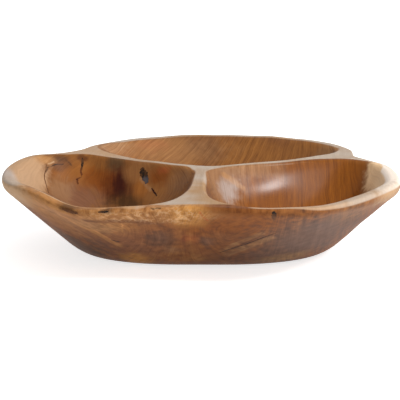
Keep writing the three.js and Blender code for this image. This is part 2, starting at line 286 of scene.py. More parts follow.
def hollow_mesh(hollow):
    """Points and faces of one hollow with its share of the land."""
    rim = outer_columns(bearings_after(hollow))[0, :, :2]
    along = np.linspace(0, 1, RIDGE_STEPS + 1)[:-1, None]
    border = np.concatenate([HUB + (rim[0] - HUB) * along, rim, (HUB + (rim[-1] - HUB) * along)[:0:-1]])
    lips = share_at_depth(hollow, border, 0)
    inner = 1 - (1 - np.linspace(0, 1, HOLLOW_STEPS + 1)[1:]) ** HOLLOW_CROWDING
    outer = np.linspace(0, 1, LAND_STEPS + 1)[1:] ** LAND_CROWDING
    shares = [share * lips for share in inner] + [lips + share * (1 - lips) for share in outer]
    middle = hollow_middle(hollow)
    rings = [middle + (border - middle) * share[:, None] for share in shares]
    at = np.concatenate([middle[None], *rings])
    points = np.column_stack([at, upper_height(at[:, 0], at[:, 1])])
    count = len(border)
    faces = fan_faces(0, list(range(1, count + 1))) + strip_faces(len(shares), count, 1)
    return points, faces


def outside_mesh():
    """Points and faces of the outside, from the edge of the land to the middle of the foot."""
    bearing = np.concatenate([bearings_after(hollow)[:-1] for hollow in HOLLOWS])
    rings = outer_columns(bearing)
    points = np.concatenate([rings.reshape(-1, 3), [[0, 0, 0]]])
    count = len(bearing)
    last_ring = list(range(len(points) - 1 - count, len(points) - 1))
    faces = strip_faces(len(rings), count, 0) + fan_faces(len(points) - 1, last_ring[::-1])
    return points, faces


def joined(parts):
    """Lays meshes together in one."""
    points = np.concatenate([part_points for part_points, _ in parts])
    starts = np.cumsum([0] + [len(part_points) for part_points, _ in parts])
    faces = [[i + start for i in face] for (_, part), start in zip(parts, starts) for face in part]
    return points, faces


def welded(parts):
    """Joins meshes into one, with points that meet made one."""
    points, faces = joined(parts)
    rounded = points.round(WELD_DIGITS)
    _, first, number = np.unique(rounded, axis=0, return_index=True, return_inverse=True)
    return points[first], [[int(number[i]) for i in face] for face in faces]


def new_object(name, points, faces):
    mesh = bpy.data.meshes.new(name)
    mesh.from_pydata((np.asarray(points) * MM).tolist(), [], faces)
    mesh.validate()
    obj = bpy.data.objects.new(name, mesh)
    bpy.context.scene.collection.objects.link(obj)
    return obj


# Stops: dark filler in knots and checks, each with its hollow, width, depth and path of bearings and drops.
# They follow the paths of their solids, and the finest ones are narrower.
# Inside a hollow the bearing is seen from the hollow's middle, and outside from the origin.
FILL_PROUD = 4
FILL_FOOT = 0.6
FILL_END = 0.4
FILL_SEAM = 0.1
FILL_SECTIONS = 26
FILL_WAVER = 0.4
BARK_SEAM = [(122, 5.6), (124, 9.2), (127.5, 12.2), (131.5, 17.8), (135.5, 21.5)]
SIDE_SPLIT = [(279.5, 43.5), (283.8, 39.4), (287.4, 35.5), (291, 30), (295, 22.5)]
STOPS = [
    ("knot_fill", LEFT, 7, 6, [(66.5, 4.5), (62.5, 9), (58, 14.5)]),
    ("knot_tail_fill", LEFT, 1.8, 4, [(52, 17.5), (48, 20), (43.5, 22.3)]),
    ("wall_check_fill", LEFT, 2, 4, [(103, 2.5), (103.3, 6), (104, 10)]),
    ("bark_seam_fill", LEFT, 0.9, 3.5, BARK_SEAM),
    ("rim_pocket_fill", None, 3.4, 4, [(230.3, 1.8), (232.5, 2.2), (235.3, 2.8)]),
    ("rim_chip_fill", None, 2, 3, [(241.2, 1.8), (242.6, 1.8), (244, 1.8)]),
    ("rim_knot_fill", None, 3.4, 5, [(290, 1.5), (290.2, 4), (290.7, 8)]),
    ("side_check_fill", None, 1.4, 3, [(234.9, 32.6), (236.2, 33.6), (237.6, 34.3)]),
    ("side_split_fill", None, 1, 4, SIDE_SPLIT),
]
PROBE = 0.01


def spline(points, count):
    """Places along a smooth curve through some points."""
    ends = np.array([points[0], *points, points[-1]], float)
    at = np.linspace(0, len(points) - 1, count)
    i = np.minimum(at.astype(int), len(points) - 2)
    t = (at - i)[:, None]
    before, start, end, after = ends[i], ends[i + 1], ends[i + 2], ends[i + 3]
    line = start + (end - start) * t * t * (3 - 2 * t)
    return line + (end - before) / 2 * t * (1 - t) ** 2 - (after - start) / 2 * t * t * (1 - t)


def unit(vectors):
    return vectors / np.linalg.norm(vectors, axis=-1, keepdims=True)


def inside_points(hollow, bearing, drop):
    """Points on a hollow's wall, with the wall's normals."""
    angle = np.radians(bearing)
    middle = hollow_middle(hollow)
    to = middle + 2 * RIM_REACH * np.stack([np.cos(angle), np.sin(angle)], axis=-1)
    at = middle + (to - middle) * share_at_depth(hollow, to, drop)[:, None]
    x, y = at.T
    z = upper_height(x, y)
    fall_x = z - upper_height(x + PROBE, y)
    fall_y = z - upper_height(x, y + PROBE)
    normals = np.stack([fall_x, fall_y, np.full_like(z, PROBE)], axis=-1)
    return np.stack([x, y, z], axis=-1), unit(normals)


def outside_points(bearing, drop):
    """Points on the outer wall, with level normals."""
    rim, foot = rim_reach(bearing), foot_reach(bearing)
    slope = (RIM_HEIGHT - edge_height(bearing)) / (rim - foot)
    height = RIM_HEIGHT - drop
    reach = np.minimum(foot + height / slope, rim)
    c, s = np.cos(np.radians(bearing)), np.sin(np.radians(bearing))
    points = np.stack([reach * c, reach * s, height * height_scale(reach * c, reach * s)], axis=-1)
    return points, np.stack([c, s, np.zeros_like(c)], axis=-1)


def stop_line(hollow, path):
    """Points along the middle of a stop, and the way that leads out of the wood there."""
    bearing, drop = spline(path, FILL_SECTIONS).T
    if hollow is None:
        points, normals = outside_points(bearing, drop)
    else:
        points, normals = inside_points(hollow, bearing, drop)
    return points, unit(normals.sum(axis=0))


def stop_halves(number, width):
    """Half widths of a stop on its two sides: it swells in its middle and wavers along its way."""
    swell = FILL_END + (1 - FILL_END) * np.sin(np.pi * np.linspace(0, 1, FILL_SECTIONS))
    waver = np.random.default_rng(number).uniform(1 - FILL_WAVER, 1 + FILL_WAVER, (2, FILL_SECTIONS))
    return width / 2 * swell * (waver + np.roll(waver, 1, axis=1)) / 2


def stop_wedge(number, clearance):
    """Points and faces of a stop before it is cut to the wood, made larger all round by a clearance."""
    _, hollow, width, depth, path = STOPS[number]
    points, normal = stop_line(hollow, path)
    along = unit(np.gradient(points, axis=0))
    across = unit(np.cross(normal, along))
    left, right = stop_halves(number, width)
    points[0] -= along[0] * clearance
    points[-1] += along[-1] * clearance
    bottom = -depth - clearance
    rows = []
    for half, side, height in (
        (right, 1, FILL_PROUD),
        (left, -1, FILL_PROUD),
        (left * FILL_FOOT, -1, bottom),
        (right * FILL_FOOT, 1, bottom),
    ):
        rows.append(points + across * (side * (half + clearance))[:, None] + normal * height)
    corners = np.stack(rows, axis=1).reshape(-1, 3)
    last = len(corners) - 4
    flanks = [face[::-1] for face in strip_faces(FILL_SECTIONS, 4, 0)]
    return corners, flanks + [[3, 2, 1, 0], [last, last + 1, last + 2, last + 3]]


def part_wide_faces(mesh):
    """Parts the wide faces that a cut leaves into triangles, and drops slivers that lie back to back."""
    parted = bmesh.new()
    parted.from_mesh(mesh)
    wide = [face for face in parted.faces if len(face.verts) > 4]
    bmesh.ops.triangulate(parted, faces=wide, ngon_method="BEAUTY")
    corners = {face: frozenset(face.verts) for face in parted.faces}
    times = Counter(corners.values())
    slivers = [face for face in corners if times[corners[face]] > 1]
    bmesh.ops.delete(parted, geom=slivers, context="FACES")
    parted.to_mesh(mesh)
    parted.free()


def combined(obj, operation, tool):
    """The mesh of an object, cut by another or kept inside it."""
    cut = obj.modifiers.new("cut", "BOOLEAN")
    cut.operation = operation
    cut.solver = "MANIFOLD"
    cut.object = tool
    bpy.context.view_layer.update()
    mesh = bpy.data.meshes.new_from_object(obj.evaluated_get(bpy.context.evaluated_depsgraph_get()))
    obj.modifiers.remove(cut)
    part_wide_faces(mesh)
    return mesh


SHARP = math.radians(35)

# Hand carving: each scoop has a place, the way that it runs, its reach along and across that way, and
# a depth. Ripples are sines across the wood. Both fade out between two heights above the foot.
SCOOPS = [
    ((58, 12, 46.5), (0.9, 0.1, 0.42), 34, 11, 2.0),
    ((-30, 12, 44), (1, 0, 0), 20, 11, 0.6),
]
RIPPLES = [(0.11, 0.05, 0.07), (-0.06, 0.13, 0.04), (0.17, -0.09, 0.12)]
RIPPLE_DEPTH = 0.12
FOOT_EASE = (1, 8)


def finished(piece, mesh, node):
    """Gives a piece its cut mesh, smooth up to its sharp edges, and ties it to its node."""
    mesh.name = piece.name
    mesh.materials.clear()
    piece.data = mesh
    mesh.shade_smooth()
    mesh.set_sharp_from_angle(angle=SHARP)
    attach(piece, "root")
    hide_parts(node)


def values_of(vertices, name, width):
    values = np.empty(len(vertices) * width)
    vertices.foreach_get(name, values)
    return values.reshape(-1, width)


def carve(mesh):
    """Sinks the scoops and ripples of hand carving into a mesh, and leaves its foot flat."""
    points = values_of(mesh.vertices, "co", 3) / MM
    sunk = np.zeros(len(points))
    for place, way, reach, breadth, depth in SCOOPS:
        off = points - place
        along = off @ np.array(way)
        aside = (off**2).sum(axis=1) - along**2
        sunk += depth * np.exp(-0.5 * ((along / reach) ** 2 + aside / breadth**2))
    for wave in RIPPLES:
        sunk += RIPPLE_DEPTH * np.sin(points @ wave)
    sunk *= ease(points[:, 2], *FOOT_EASE)
    points -= values_of(mesh.vertices, "normal", 3) * sunk[:, None]
    mesh.vertices.foreach_set("co", (points * MM).ravel())
    mesh.update()


# The wood and its stops, cut to each other
body = new_object("bowl_body", *welded([*map(hollow_mesh, HOLLOWS), outside_mesh()]))
carve(body.data)
fills = []
for number, (name, *_) in enumerate(STOPS):
    fill = new_object(name.replace("_fill", "_filler"), *stop_wedge(number, 0))
    fills.append(fill)
    finished(fill, combined(fill, "INTERSECT", body), name)
pockets = new_object("pockets", *joined([stop_wedge(number, FILL_SEAM) for number in range(len(STOPS))]))
finished(body, combined(body, "DIFFERENCE", pockets), "carved_body")
bpy.data.objects.remove(pockets)


# Figure of the wood. Lines follow the year rings, whose distance from the pith is kept on each vertex, in
# millimetres. The rings are laid out on an upright plane that leans back by the angle of the view.
REAR_TURN = (100, 130)
REAR_LEVEL = 79
RIGHT_SLANT = 0.1
EYE = (-83, 50.8)
EYE_WIDTH = 1.4
EYE_RING = -75
EYE_STRETCH = (-64, -104)
SWIRL = (-50, 47)
SWIRL_WIDTH = 1.5
SWIRL_RING = -48
SWIRL_STRETCH = (-48, -30)
LEFT_EYE = ((-58, 9), 153)
RIGHT_EYE = ((20, 9), 20)
EYES_MEET = (-20, -6)
STRAIGHT_RIGHT = (40, 70)
STRAIGHT_BEHIND = (-45, 0)
OUTSIDE_FALL = 3


def round_head(across, up, head, heading):
    """Distance from a half-line: rings run along both of its sides and close round its head."""
    angle = math.radians(heading)
    x, y = across - head[0], up - head[1]
    ahead = x * math.cos(angle) + y * math.sin(angle)
    beside = y * math.cos(angle) - x * math.sin(angle)
    return np.hypot(np.minimum(ahead, 0), beside)


def inside_rings(hollow, x, up):
    if hollow == REAR:
        return x - np.clip((REAR_TURN[0] - x) / REAR_TURN[1], 0, 1) * (up - REAR_LEVEL)
    if hollow == RIGHT:
        return x + RIGHT_SLANT * up
    eye = EYE_RING - np.hypot((x - EYE[0]) / EYE_WIDTH, up - EYE[1])
    swirl = SWIRL_RING + np.hypot((x - SWIRL[0]) / SWIRL_WIDTH, up - SWIRL[1])
    return x + (eye - x) * ease(x, *EYE_STRETCH) + (swirl - x) * ease(x, *SWIRL_STRETCH)


def outside_rings(x, y, up):
    left = round_head(x, up, *LEFT_EYE)
    right = round_head(x, up, *RIGHT_EYE)
    front = left + (right - left) * ease(x, *EYES_MEET)
    front = front + (x - front) * ease(x, *STRAIGHT_RIGHT)
    return front + (x - front) * ease(y, *STRAIGHT_BEHIND)


# Where the lines are faint: at both ends of the bowl, and in places with a reach along each axis and
# the least clearness. Their edges are soft, as shares of the reach.
END_FAINTNESS = 0.8
END_STRETCH = (112, 126)
CALM_PLACES = [
    ((18, 0, 50), (22, 32, 18), 0.45),
    ((-70, 30, 45), (85, 60, 30), 0.4),
    ((95, -95, 30), (60, 50, 40), 0.5),
    ((-110, -90, 48), (36, 50, 26), 0.5),
]
CALM_EDGE = (0.5, 1.1)

# Where the wood is polished: below the lips of the hollows, and most of all in one place
ROUGH_WOOD = 0.6
CARVED_ROUGHNESS = 0.45
CARVED_DEPTHS = (1, 8)
POLISHED_ROUGHNESS = 0.245
POLISHED_PLACE = ((54, 12, 45), (30, 30, 18))
POLISHED_EDGE = (1.2, 0.3)
POLISHED_FALL = 1


def away(points, centre, reach):
    return np.sqrt((((points - centre) / reach) ** 2).sum(axis=1))


def clearness(points):
    """How clear the lines of the wood are at some points."""
    clear = 1 - END_FAINTNESS * ease(np.abs(points[:, 0]), *END_STRETCH)
    for centre, reach, least in CALM_PLACES:
        clear *= least + (1 - least) * ease(away(points, centre, reach), *CALM_EDGE)
    return clear


def roughness(points, depth, fall):
    polished = ease(away(points, *POLISHED_PLACE), *POLISHED_EDGE)
    carved = CARVED_ROUGHNESS + (POLISHED_ROUGHNESS - CARVED_ROUGHNESS) * polished
    return ROUGH_WOOD + (carved - ROUGH_WOOD) * ease(depth, *CARVED_DEPTHS) * (fall < POLISHED_FALL)


# Where the colours of the wood end. A shift in millimetres comes in along stretches of x, y or depth,
# each from its first value to its second. The land's pale colour reaches further into a hollow where the
# shift is positive, and the hollow's own colour reaches over its lip where it is negative.
LIP_SHIFTS = [
    (RIGHT, 4, [("x", 80, 125), ("y", 25, 5)]),
    (RIGHT, 4, [("x", -6, 6), ("x", 18, 6), ("y", 0, -40)]),
    (RIGHT, 2.5, [("x", 15, 40), ("y", -30, -70)]),
    (RIGHT, -4, [("x", 10, 30), ("y", 0, 12)]),
    (RIGHT, -6, [("x", 60, 95), ("x", 125, 105), ("y", 0, 12)]),
    (LEFT, -3, [("x", -95, -65), ("y", 0, 15)]),
    (LEFT, 2, [("x", -122, -132), ("y", 40, 15)]),
    (LEFT, -5, [("x", -104, -114), ("y", -30, 50)]),
    (LEFT, 3, [("x", -104, -114), ("y", -30, 50), ("y", 30, 50)]),
    (REAR, -5, [("x", -60, -80)]),
]

# The left end of the bowl is pale, as if its hollow were shallower there
LEFT_END_FADE = (0.75, [("x", -112, -124), ("y", 60, 30)])

# The outside's colour begins lower on the edge where a shift is negative, and on the land where it isn't
EDGE_SHIFTS = [
    (-1.6, [("x", 60, 85), ("y", 20, -20)]),
    (3, [("x", -40, -70), ("x", -138, -120), ("y", -45, -75), ("depth", -1.5, -3.5)]),
    (3, [("x", 5, 45), ("x", 105, 45), ("y", -45, -75), ("depth", -4, -6)]),
    (3, [("x", -45, -30), ("x", 40, 25), ("y", -120, -125)]),
]


def share_within(at, stretches):
    """How far a shift has come in, along all of its stretches."""
    return math.prod(ease(at[measure], start, full) for measure, start, full in stretches)


def coloured_depth(at, nearest):
    """Depth in the nearest hollow, shifted to where its colour ends."""
    strength, fading = LEFT_END_FADE
    depth = at["depth"] * (1 - strength * share_within(at, fading))
    for hollow, shift, stretches in LIP_SHIFTS:
        depth = depth - shift * share_within(at, stretches) * (nearest == hollow)
    return depth


def set_grain(mesh):
    """Keeps on each vertex its depth in a hollow, its fall below the top, its rings and its polish."""
    points = values_of(mesh.vertices, "co", 3) / MM
    x, y, z = points.T
    lean = math.radians(VIEW_ELEVATION)
    up = y * math.sin(lean) + z * math.cos(lean)
    depths = np.stack([hollow_depth(hollow, x, y) for hollow in HOLLOWS])
    nearest, depth = depths.argmax(axis=0), depths.max(axis=0)
    fall = upper_height(x, y) - z
    fall = np.where((depth > 0) & (fall < WALL), 0, fall)
    rings = np.choose(nearest, [inside_rings(hollow, x, up) for hollow in HOLLOWS])
    at = {"x": x, "y": y, "depth": depth}
    kept = {
        "depth": coloured_depth(at, nearest),
        "fall": fall + sum(shift * share_within(at, stretches) for shift, stretches in EDGE_SHIFTS),
        "rings": np.where(fall > OUTSIDE_FALL, outside_rings(x, y, up), rings),
        "along": up,
        "clear": clearness(points),
        "rough": roughness(points, depth, fall),
    }
    for name, values in kept.items():
        mesh.attributes.new(name, "FLOAT", "POINT").data.foreach_set("value", values.astype(np.float32))


def linear(colour):
    """A colour written as hex digits, as the linear red, green, blue and alpha that nodes take."""
    parts = [int(colour[i : i + 2], 16) / 255 for i in (0, 2, 4)]
    return [part / 12.92 if part <= 0.04045 else ((part + 0.055) / 1.055) ** 2.4 for part in parts] + [1]


STREAK_CORE = 0.3  # share of a streak's half width that has its full colour


class Nodes:
    """Adds nodes to a material or a world. An input is a plain value or another node's output."""

    def __init__(self, owner, shader="Principled BSDF"):
        owner.use_nodes = True
        self.tree = owner.node_tree
        self.shader = self.tree.nodes[shader]

    def fill(self, node, inputs):
        for key, value in inputs.items():
            if isinstance(value, bpy.types.NodeSocket):
                self.tree.links.new(value, node.inputs[key])
            else:
                node.inputs[key].default_value = value

    def add(self, kind, inputs, **settings):
        node = self.tree.nodes.new("ShaderNode" + kind)
        for name, value in settings.items():
            setattr(node, name, value)
        self.fill(node, inputs)
        return node

    def math(self, operation, *values):
        return self.add("Math", dict(enumerate(values)), operation=operation).outputs[0]

    def vector(self, operation, *values):
        node = self.add("VectorMath", dict(enumerate(values)), operation=operation)
        return node.outputs["Value" if operation in ("LENGTH", "DOT_PRODUCT") else "Vector"]

    def scaled(self, vector, scale):
        node = self.add("VectorMath", {"Vector": vector, "Scale": scale}, operation="SCALE")
        return node.outputs["Vector"]

    def ramp(self, value, low, high, start=0.0, end=1.0):
        inputs = {"Value": value, "From Min": low, "From Max": high, "To Min": start, "To Max": end}
        node = self.add("MapRange", inputs, interpolation_type="SMOOTHSTEP", clamp=False)
        return node.outputs["Result"]

    def noise(self, vector, scale, detail=2.0):
        return self.add("TexNoise", {"Vector": vector, "Scale": scale, "Detail": detail}).outputs

    def lines(self, distance, scale, detail=2.0):
        inputs = {"W": distance, "Scale": scale, "Detail": detail}
        return self.add("TexNoise", inputs, noise_dimensions="1D").outputs[0]

    def mix(self, share, first, second):
        return self.add("Mix", {0: share, 6: first, 7: second}, data_type="RGBA").outputs[2]

    def kept(self, name):
        return self.add("Attribute", {}, attribute_name=name).outputs["Fac"]

    def place(self):
        return self.scaled(self.add("TexCoord", {}).outputs["Object"], 1 / MM)

    def away(self, place, centre, radii):
        """Distance from a centre, as a share of the radii."""
        shrink = [1 / radius for radius in radii]
        shift = [-at / radius for at, radius in zip(centre, radii)]
        return self.vector("LENGTH", self.vector("MULTIPLY_ADD", place, shrink, shift))

    def spots(self, place, colour, spots, roughness=0.0, cover=1.0):
        """Lays soft spots of colour over a colour: each has a centre, radii, softness and strength."""
        for name, centre, radii, softness, strength in spots:
            away = self.math("MULTIPLY_ADD", roughness, 2 * softness, self.away(place, centre, radii))
            most = self.math("MULTIPLY", cover, strength)
            share = self.ramp(away, 1 - softness, 1 + softness, most, 0)
            colour = self.mix(share, colour, linear(WOOD[name]))
        return colour

    def streaks(self, place, colour, streaks):
        """Lays streaks over a colour: each has a half width, a strength and a route of points."""
        for name, half, strength, route in streaks:
            for start, end in zip(route, route[1:]):
                run = Vector(end) - Vector(start)
                off = self.vector("SUBTRACT", place, start)
                along = self.vector("DOT_PRODUCT", off, run / run.length_squared)
                along = self.math("MINIMUM", self.math("MAXIMUM", along, 0), 1)
                gap = self.vector("SUBTRACT", off, self.scaled(run, along))
                share = self.ramp(self.vector("LENGTH", gap), half * STREAK_CORE, half, strength, 0)
                colour = self.mix(share, colour, linear(WOOD[name]))
        return colour


# Colours of the wood and its stopping, as hex digits. Some of them also paint a sheen, highlights, a
# reflection and a shade into the colour, as noted where they are laid.
WOOD = {
    "ivory": "fbeada",
    "cream": "e2d0bd",
    "bone": "bba998",
    "ash_and_highlight": "c0b6b2",
    "wheat": "e8c296",
    "sapwood": "d2b08a",
    "peach": "bc946e",
    "sand": "9c7452",
    "tan": "aa8258",
    "honey": "c08a52",
    "gold": "cf964f",
    "amber": "a26e3e",
    "ginger": "955f31",
    "copper": "b06a26",
    "teak": "8c5826",
    "rust": "82480e",
    "orange": "85460e",
    "brick": "b05a30",
    "chestnut": "8c582c",
    "umber": "744622",
    "walnut": "5c3a1e",
    "olive": "4e3010",
    "smoke": "574028",
    "mahogany": "6a3004",
    "maroon": "3e0e00",
    "mauve": "7e5238",
    "dusk": "684f43",
    "stain": "5a4032",
    "soot": "1c130c",
    "slate_reflection": "8d8a93",
}

# Spots have a colour, a centre, radii, a softness and a strength. Streaks have a colour, a half width,
# a strength and the points of their route.
INSIDE_SPOTS = [
    ("ginger", (-60, 105, 54), (55, 34, 16), 0.5, 0.8),
    ("rust", (75, 10, 42), (80, 60, 30), 0.3, 1),
    # Partly pale wood beside the hub and partly a painted highlight: this sand spot lightens the right
    # hollow's left end.
    ("sand", (16, -2, 50), (18, 32, 18), 0.5, 0.7),
    # Partly paler wood and partly a painted sheen: this peach spot lightens the upper flank of the right
    # hollow above the key light's highlight.
    ("peach", (46, 16, 58), (34, 10, 7), 0.6, 0.4),
    # A painted highlight: this spot stands in for a second reflection of the key light at the right
    # hollow's left end.
    ("ash_and_highlight", (22, -3, 45), (9, 12, 8), 0.6, 0.5),
    ("peach", (-72, 100, 57), (18, 18, 9), 0.5, 0.4),
    ("brick", (-36, 118, 56), (14, 12, 5), 0.6, 0.3),
    ("tan", (-25, 121, 52), (45, 22, 13), 0.5, 0.25),
    ("tan", (106, 90, 57), (15, 15, 9), 0.5, 0.3),
    ("umber", (150, -5, 50), (29, 62, 32), 0.1, 0.6),
    ("wheat", (150, -5, 50), (26, 58, 29), 0.12, 1),
    ("amber", (-22, 10, 46), (30, 30, 20), 0.4, 0.4),
    ("orange", (-30, 20, 51), (10, 9, 7), 0.5, 0.9),
    ("copper", (-100, 53, 46), (17, 16, 11), 0.4, 0.35),
    ("umber", (-108, 55, 53), (8, 8, 5), 0.5, 0.8),
    ("walnut", (-109, 58, 58), (6, 5, 2.5), 0.5, 0.8),
    ("maroon", (-93, 60, 57), (4, 4, 3), 0.5, 0.6),
    ("mauve", (-97, 34, 32), (26, 26, 11), 0.5, 0.9),
    ("tan", (-108, 35, 36), (10, 22, 9), 0.5, 0.35),
    ("orange", (-80, 48, 42), (14, 14, 8), 0.5, 0.9),
    ("smoke", (-65, 49, 55), (7, 10, 9), 0.5, 0.8),
    ("mahogany", (-65, 40, 40), (10, 16, 11), 0.7, 0.9),
    ("maroon", (-63, 37, 41), (5, 14, 11), 0.5, 0.9),
    ("maroon", (-58, 29, 36), (9, 12, 8), 0.9, 0.6),
    ("olive", (-56, 20, 29), (17, 16, 5), 0.8, 0.9),
    ("amber", (-50, 34, 52), (14, 9, 8), 0.5, 0.6),
    ("copper", (-45, 24, 40), (6, 8, 7), 0.6, 0.5),
    ("brick", (-28, 20, 55), (7, 6, 3), 0.6, 0.45),
    ("sand", (-14, 3, 50), (13, 13, 9), 0.6, 0.35),
    ("peach", (-146, 5, 52), (31, 70, 30), 0.2, 1),
    ("honey", (-122, 52, 58), (10, 8, 4), 0.5, 0.6),
]
INSIDE_STREAKS = [
    ("wheat", 1.0, 0.4, [(-118, 51, 54), (-114, 55, 55)]),
    ("soot", 0.9, 0.7, [(-119, 42, 50), (-118, 48, 52), (-113, 54, 53), (-107, 56, 53)]),
    ("walnut", 0.9, 0.9, [(-105, 59, 56), (-103, 58, 54), (-101, 57, 52)]),
    ("maroon", 1.0, 0.7, [(-93, 56, 50), (-93, 54, 47), (-92, 51, 44), (-96, 50, 42), (-95, 47, 39)]),
    # A painted highlight: this pale streak is a crescent of light along the lower side of the knot.
    ("peach", 2.6, 0.3, [(-45, 28, 47), (-42, 22, 44), (-38, 17, 41)]),
    ("honey", 3.4, 0.4, [(18, 5, 55), (33, 5, 45)]),
]
OUTSIDE_SPOTS = [
    ("honey", (-112, -92, 52), (30, 34, 18), 0.5, 0.8),
    ("sapwood", (-141, -52, 55), (22, 54, 14), 0.6, 0.9),
    ("amber", (-98, -84, 40), (24, 26, 16), 0.5, 0.7),
    ("amber", (-69, -112, 43), (26, 22, 13), 0.5, 0.9),
    ("tan", (-74, -108, 41), (18, 20, 8), 0.5, 0.5),
    ("olive", (-87, -58, 14), (20, 28, 14), 0.5, 0.7),
    ("mauve", (-42, -95, 26), (28, 26, 16), 0.5, 0.5),
    ("stain", (-26, -99, 29), (11, 14, 9), 0.6, 0.7),
    ("chestnut", (0, -95, 28), (20, 24, 18), 0.5, 0.6),
    ("rust", (2, -113, 41), (13, 14, 8), 0.6, 0.8),
    ("rust", (32, -125, 48), (32, 22, 14), 0.5, 0.7),
    ("umber", (12, -98, 28), (14, 16, 12), 0.6, 0.6),
    ("dusk", (78, -90, 30), (38, 50, 32), 0.5, 0.85),
    ("tan", (112, -108, 52), (22, 30, 14), 0.5, 0.2),
    ("sapwood", (137, -76, 58), (16, 26, 9), 0.6, 0.7),
    ("stain", (50, -78, 10), (32, 22, 12), 0.6, 0.5),
    ("honey", (-44, -129, 54), (56, 14, 7), 0.4, 0.55),
    ("gold", (-8, -126, 52), (13, 16, 13), 0.5, 0.6),
    ("gold", (-46, -68, 7), (12, 12, 7), 0.5, 0.8),
    ("amber", (-14, -76, 12), (24, 14, 8), 0.5, 0.5),
    ("sand", (-20, -86, 19), (6, 7, 5), 0.8, 0.6),
    ("brick", (-7, -99, 30), (6, 7, 5), 0.8, 0.3),
    ("dusk", (5, -96, 27), (5, 7, 6), 0.8, 0.6),
    ("honey", (-3, -75, 9), (6, 6, 4), 0.8, 0.5),
    ("olive", (-92, -116, 57), (8, 8, 4), 0.6, 0.7),
    ("walnut", (-64, -130, 58), (5, 5, 2.5), 0.6, 0.7),
    ("tan", (62, -66, 7), (22, 12, 6), 0.5, 0.6),
]
OUTSIDE_STREAKS = [
    ("honey", 4.0, 0.45, [(-104, -107, 56), (-79, -120, 50), (-62, -113, 43)]),
    ("honey", 5.0, 0.45, [(-98, -100, 48), (-74, -95, 34), (-58, -84, 22)]),
    ("rust", 4.5, 0.5, [(-99, -64, 28), (-83, -67, 20), (-65, -70, 13)]),
    ("umber", 4.2, 0.8, [(-80, -115, 46), (-60, -121, 47), (-39, -122, 47)]),
    ("umber", 4.2, 0.8, [(-39, -122, 47), (-28, -116, 43), (-19, -109, 38)]),
    ("tan", 5.0, 0.35, [(20, -82, 15), (30, -91, 21), (50, -106, 33)]),
    ("tan", 3.6, 0.3, [(16, -86, 18), (25, -97, 26), (43, -112, 37)]),
    ("walnut", 1.8, 0.6, [(51, -137, 56), (51, -131, 51)]),
    ("brick", 1.2, 0.5, [(0, -130, 56), (5, -123, 49)]),
    # Painted shade: this dark streak on the front rim stands in for the shadow in a shallow dent that the
    # mesh does not carve.
    ("soot", 1.0, 0.7, [(-33, -131, 59), (-27, -130, 59)]),
    ("honey", 1.2, 0.5, [(-54, -119, 46), (-54, -106, 37)]),
]
BURL_BANDS = [
    ("sapwood", (-36, -124, 53), (46, 16, 7), 0.4, 0.4),
    ("sapwood", (-12, -123, 52), (11, 15, 7), 0.5, 0.4),
]
LAND_SPOTS = [
    ("cream", (142, -25, 60), (28, 70, 12), 0.5, 0.8),
    ("ivory", (142, -12, 60), (24, 42, 12), 0.5, 0.9),
    ("peach", (70, -135, 58), (70, 14, 8), 0.5, 0.7),
    ("peach", (-88, 72, 59), (28, 28, 8), 0.5, 0.6),
    ("tan", (0, -10, 60), (12, 14, 6), 0.6, 0.4),
    ("tan", (14, -112, 60), (14, 30, 8), 0.5, 0.55),
    # Partly grey wood and partly a painted highlight: this spot lightens the land at the left tip with a
    # grey tint.
    ("ash_and_highlight", (-141, 0, 58), (12, 36, 10), 0.6, 0.6),
    ("peach", (-136, -10, 58), (16, 50, 10), 0.5, 0.2),
    ("honey", (-66, -120, 58), (34, 28, 10), 0.4, 0.8),
    ("sapwood", (-112, -98, 59), (20, 26, 8), 0.5, 0.8),
]
FILLER_SPOTS = [
    # A painted reflection: this grey spot at the lower end of the knot stands in for the gloss of the
    # filler.
    ("slate_reflection", (-41, 26, 46), (4, 4, 3), 0.5, 0.3),
    ("umber", (-118, 35, 48), (8, 20, 12), 0.3, 0.7),
    ("umber", (-95, -114, 56), (14, 14, 6), 0.3, 0.6),
    ("maroon", (-35, 18, 42), (7, 7, 6), 0.3, 0.7),
    ("umber", (51, -134, 53), (6, 6, 3), 0.6, 0.6),
]

# Noises of the wood, each with a scale per millimetre and a detail
BANDS = (0.3, 3)
FINE_LINES = (1.1, 2)
FIBRE = (1.2, 2)
STREAK = (0.25, 4)
BURL = (0.2, 4)
MOTTLE = (0.025, 3)
MOTTLE_RANGE = (0.35, 0.7)
FIBRE_STRETCH = 0.12

# Noises that move places about, each with a scale per millimetre and a reach in millimetres
DRIFT = (0.06, 9)
FRAY = (0.3, 2)
BOW = (0.018, 14)
EDGE_FRAY = 0.9  # how much the edges of spots waver with the figure, as a share of their softness

# Pale net of the burl, along the edges of small cells
NET_SCALE = 0.36
NET_WIDTH = (0.02, 0.25)
NET_RANGE = (0.38, 0.6)

# Depths and falls over which one colour passes into the next
LIP_BLEND = (-2.5, -0.5)
EDGE_BLEND = (0.4, 2)
OUTSIDE_TINT = (0.93, 0.86, 0.78, 1)

# Weights of the lines, and the contrast of the land beside that of the hollows and the outside
BAND_WEIGHT = 0.7
INNER_STREAK = 0.6
OUTER_STREAK = 1.3
BURL_WEIGHT = 1.6
OUTER_LEVEL = -0.6
INNER_FINE = 0.5
OUTER_FINE = 0.15
FIBRE_WEIGHT = 0.7
MEAN_FIGURE = 1.2
LAND_CONTRAST = 0.22
GREEN_POWER = 1.2
BLUE_POWER = 1.4

# Surface: relief of the fibres in metres, and gloss
FIBRE_RELIEF = 0.0001
FIBRE_BUMP = 0.25
GLOSS = 0.2


def moved(nodes, place, scale, reach):
    """A place moved about by a noise."""
    way = nodes.vector("SUBTRACT", nodes.noise(place, scale)[1], (0.5, 0.5, 0.5))
    return nodes.vector("ADD", place, nodes.scaled(way, reach))


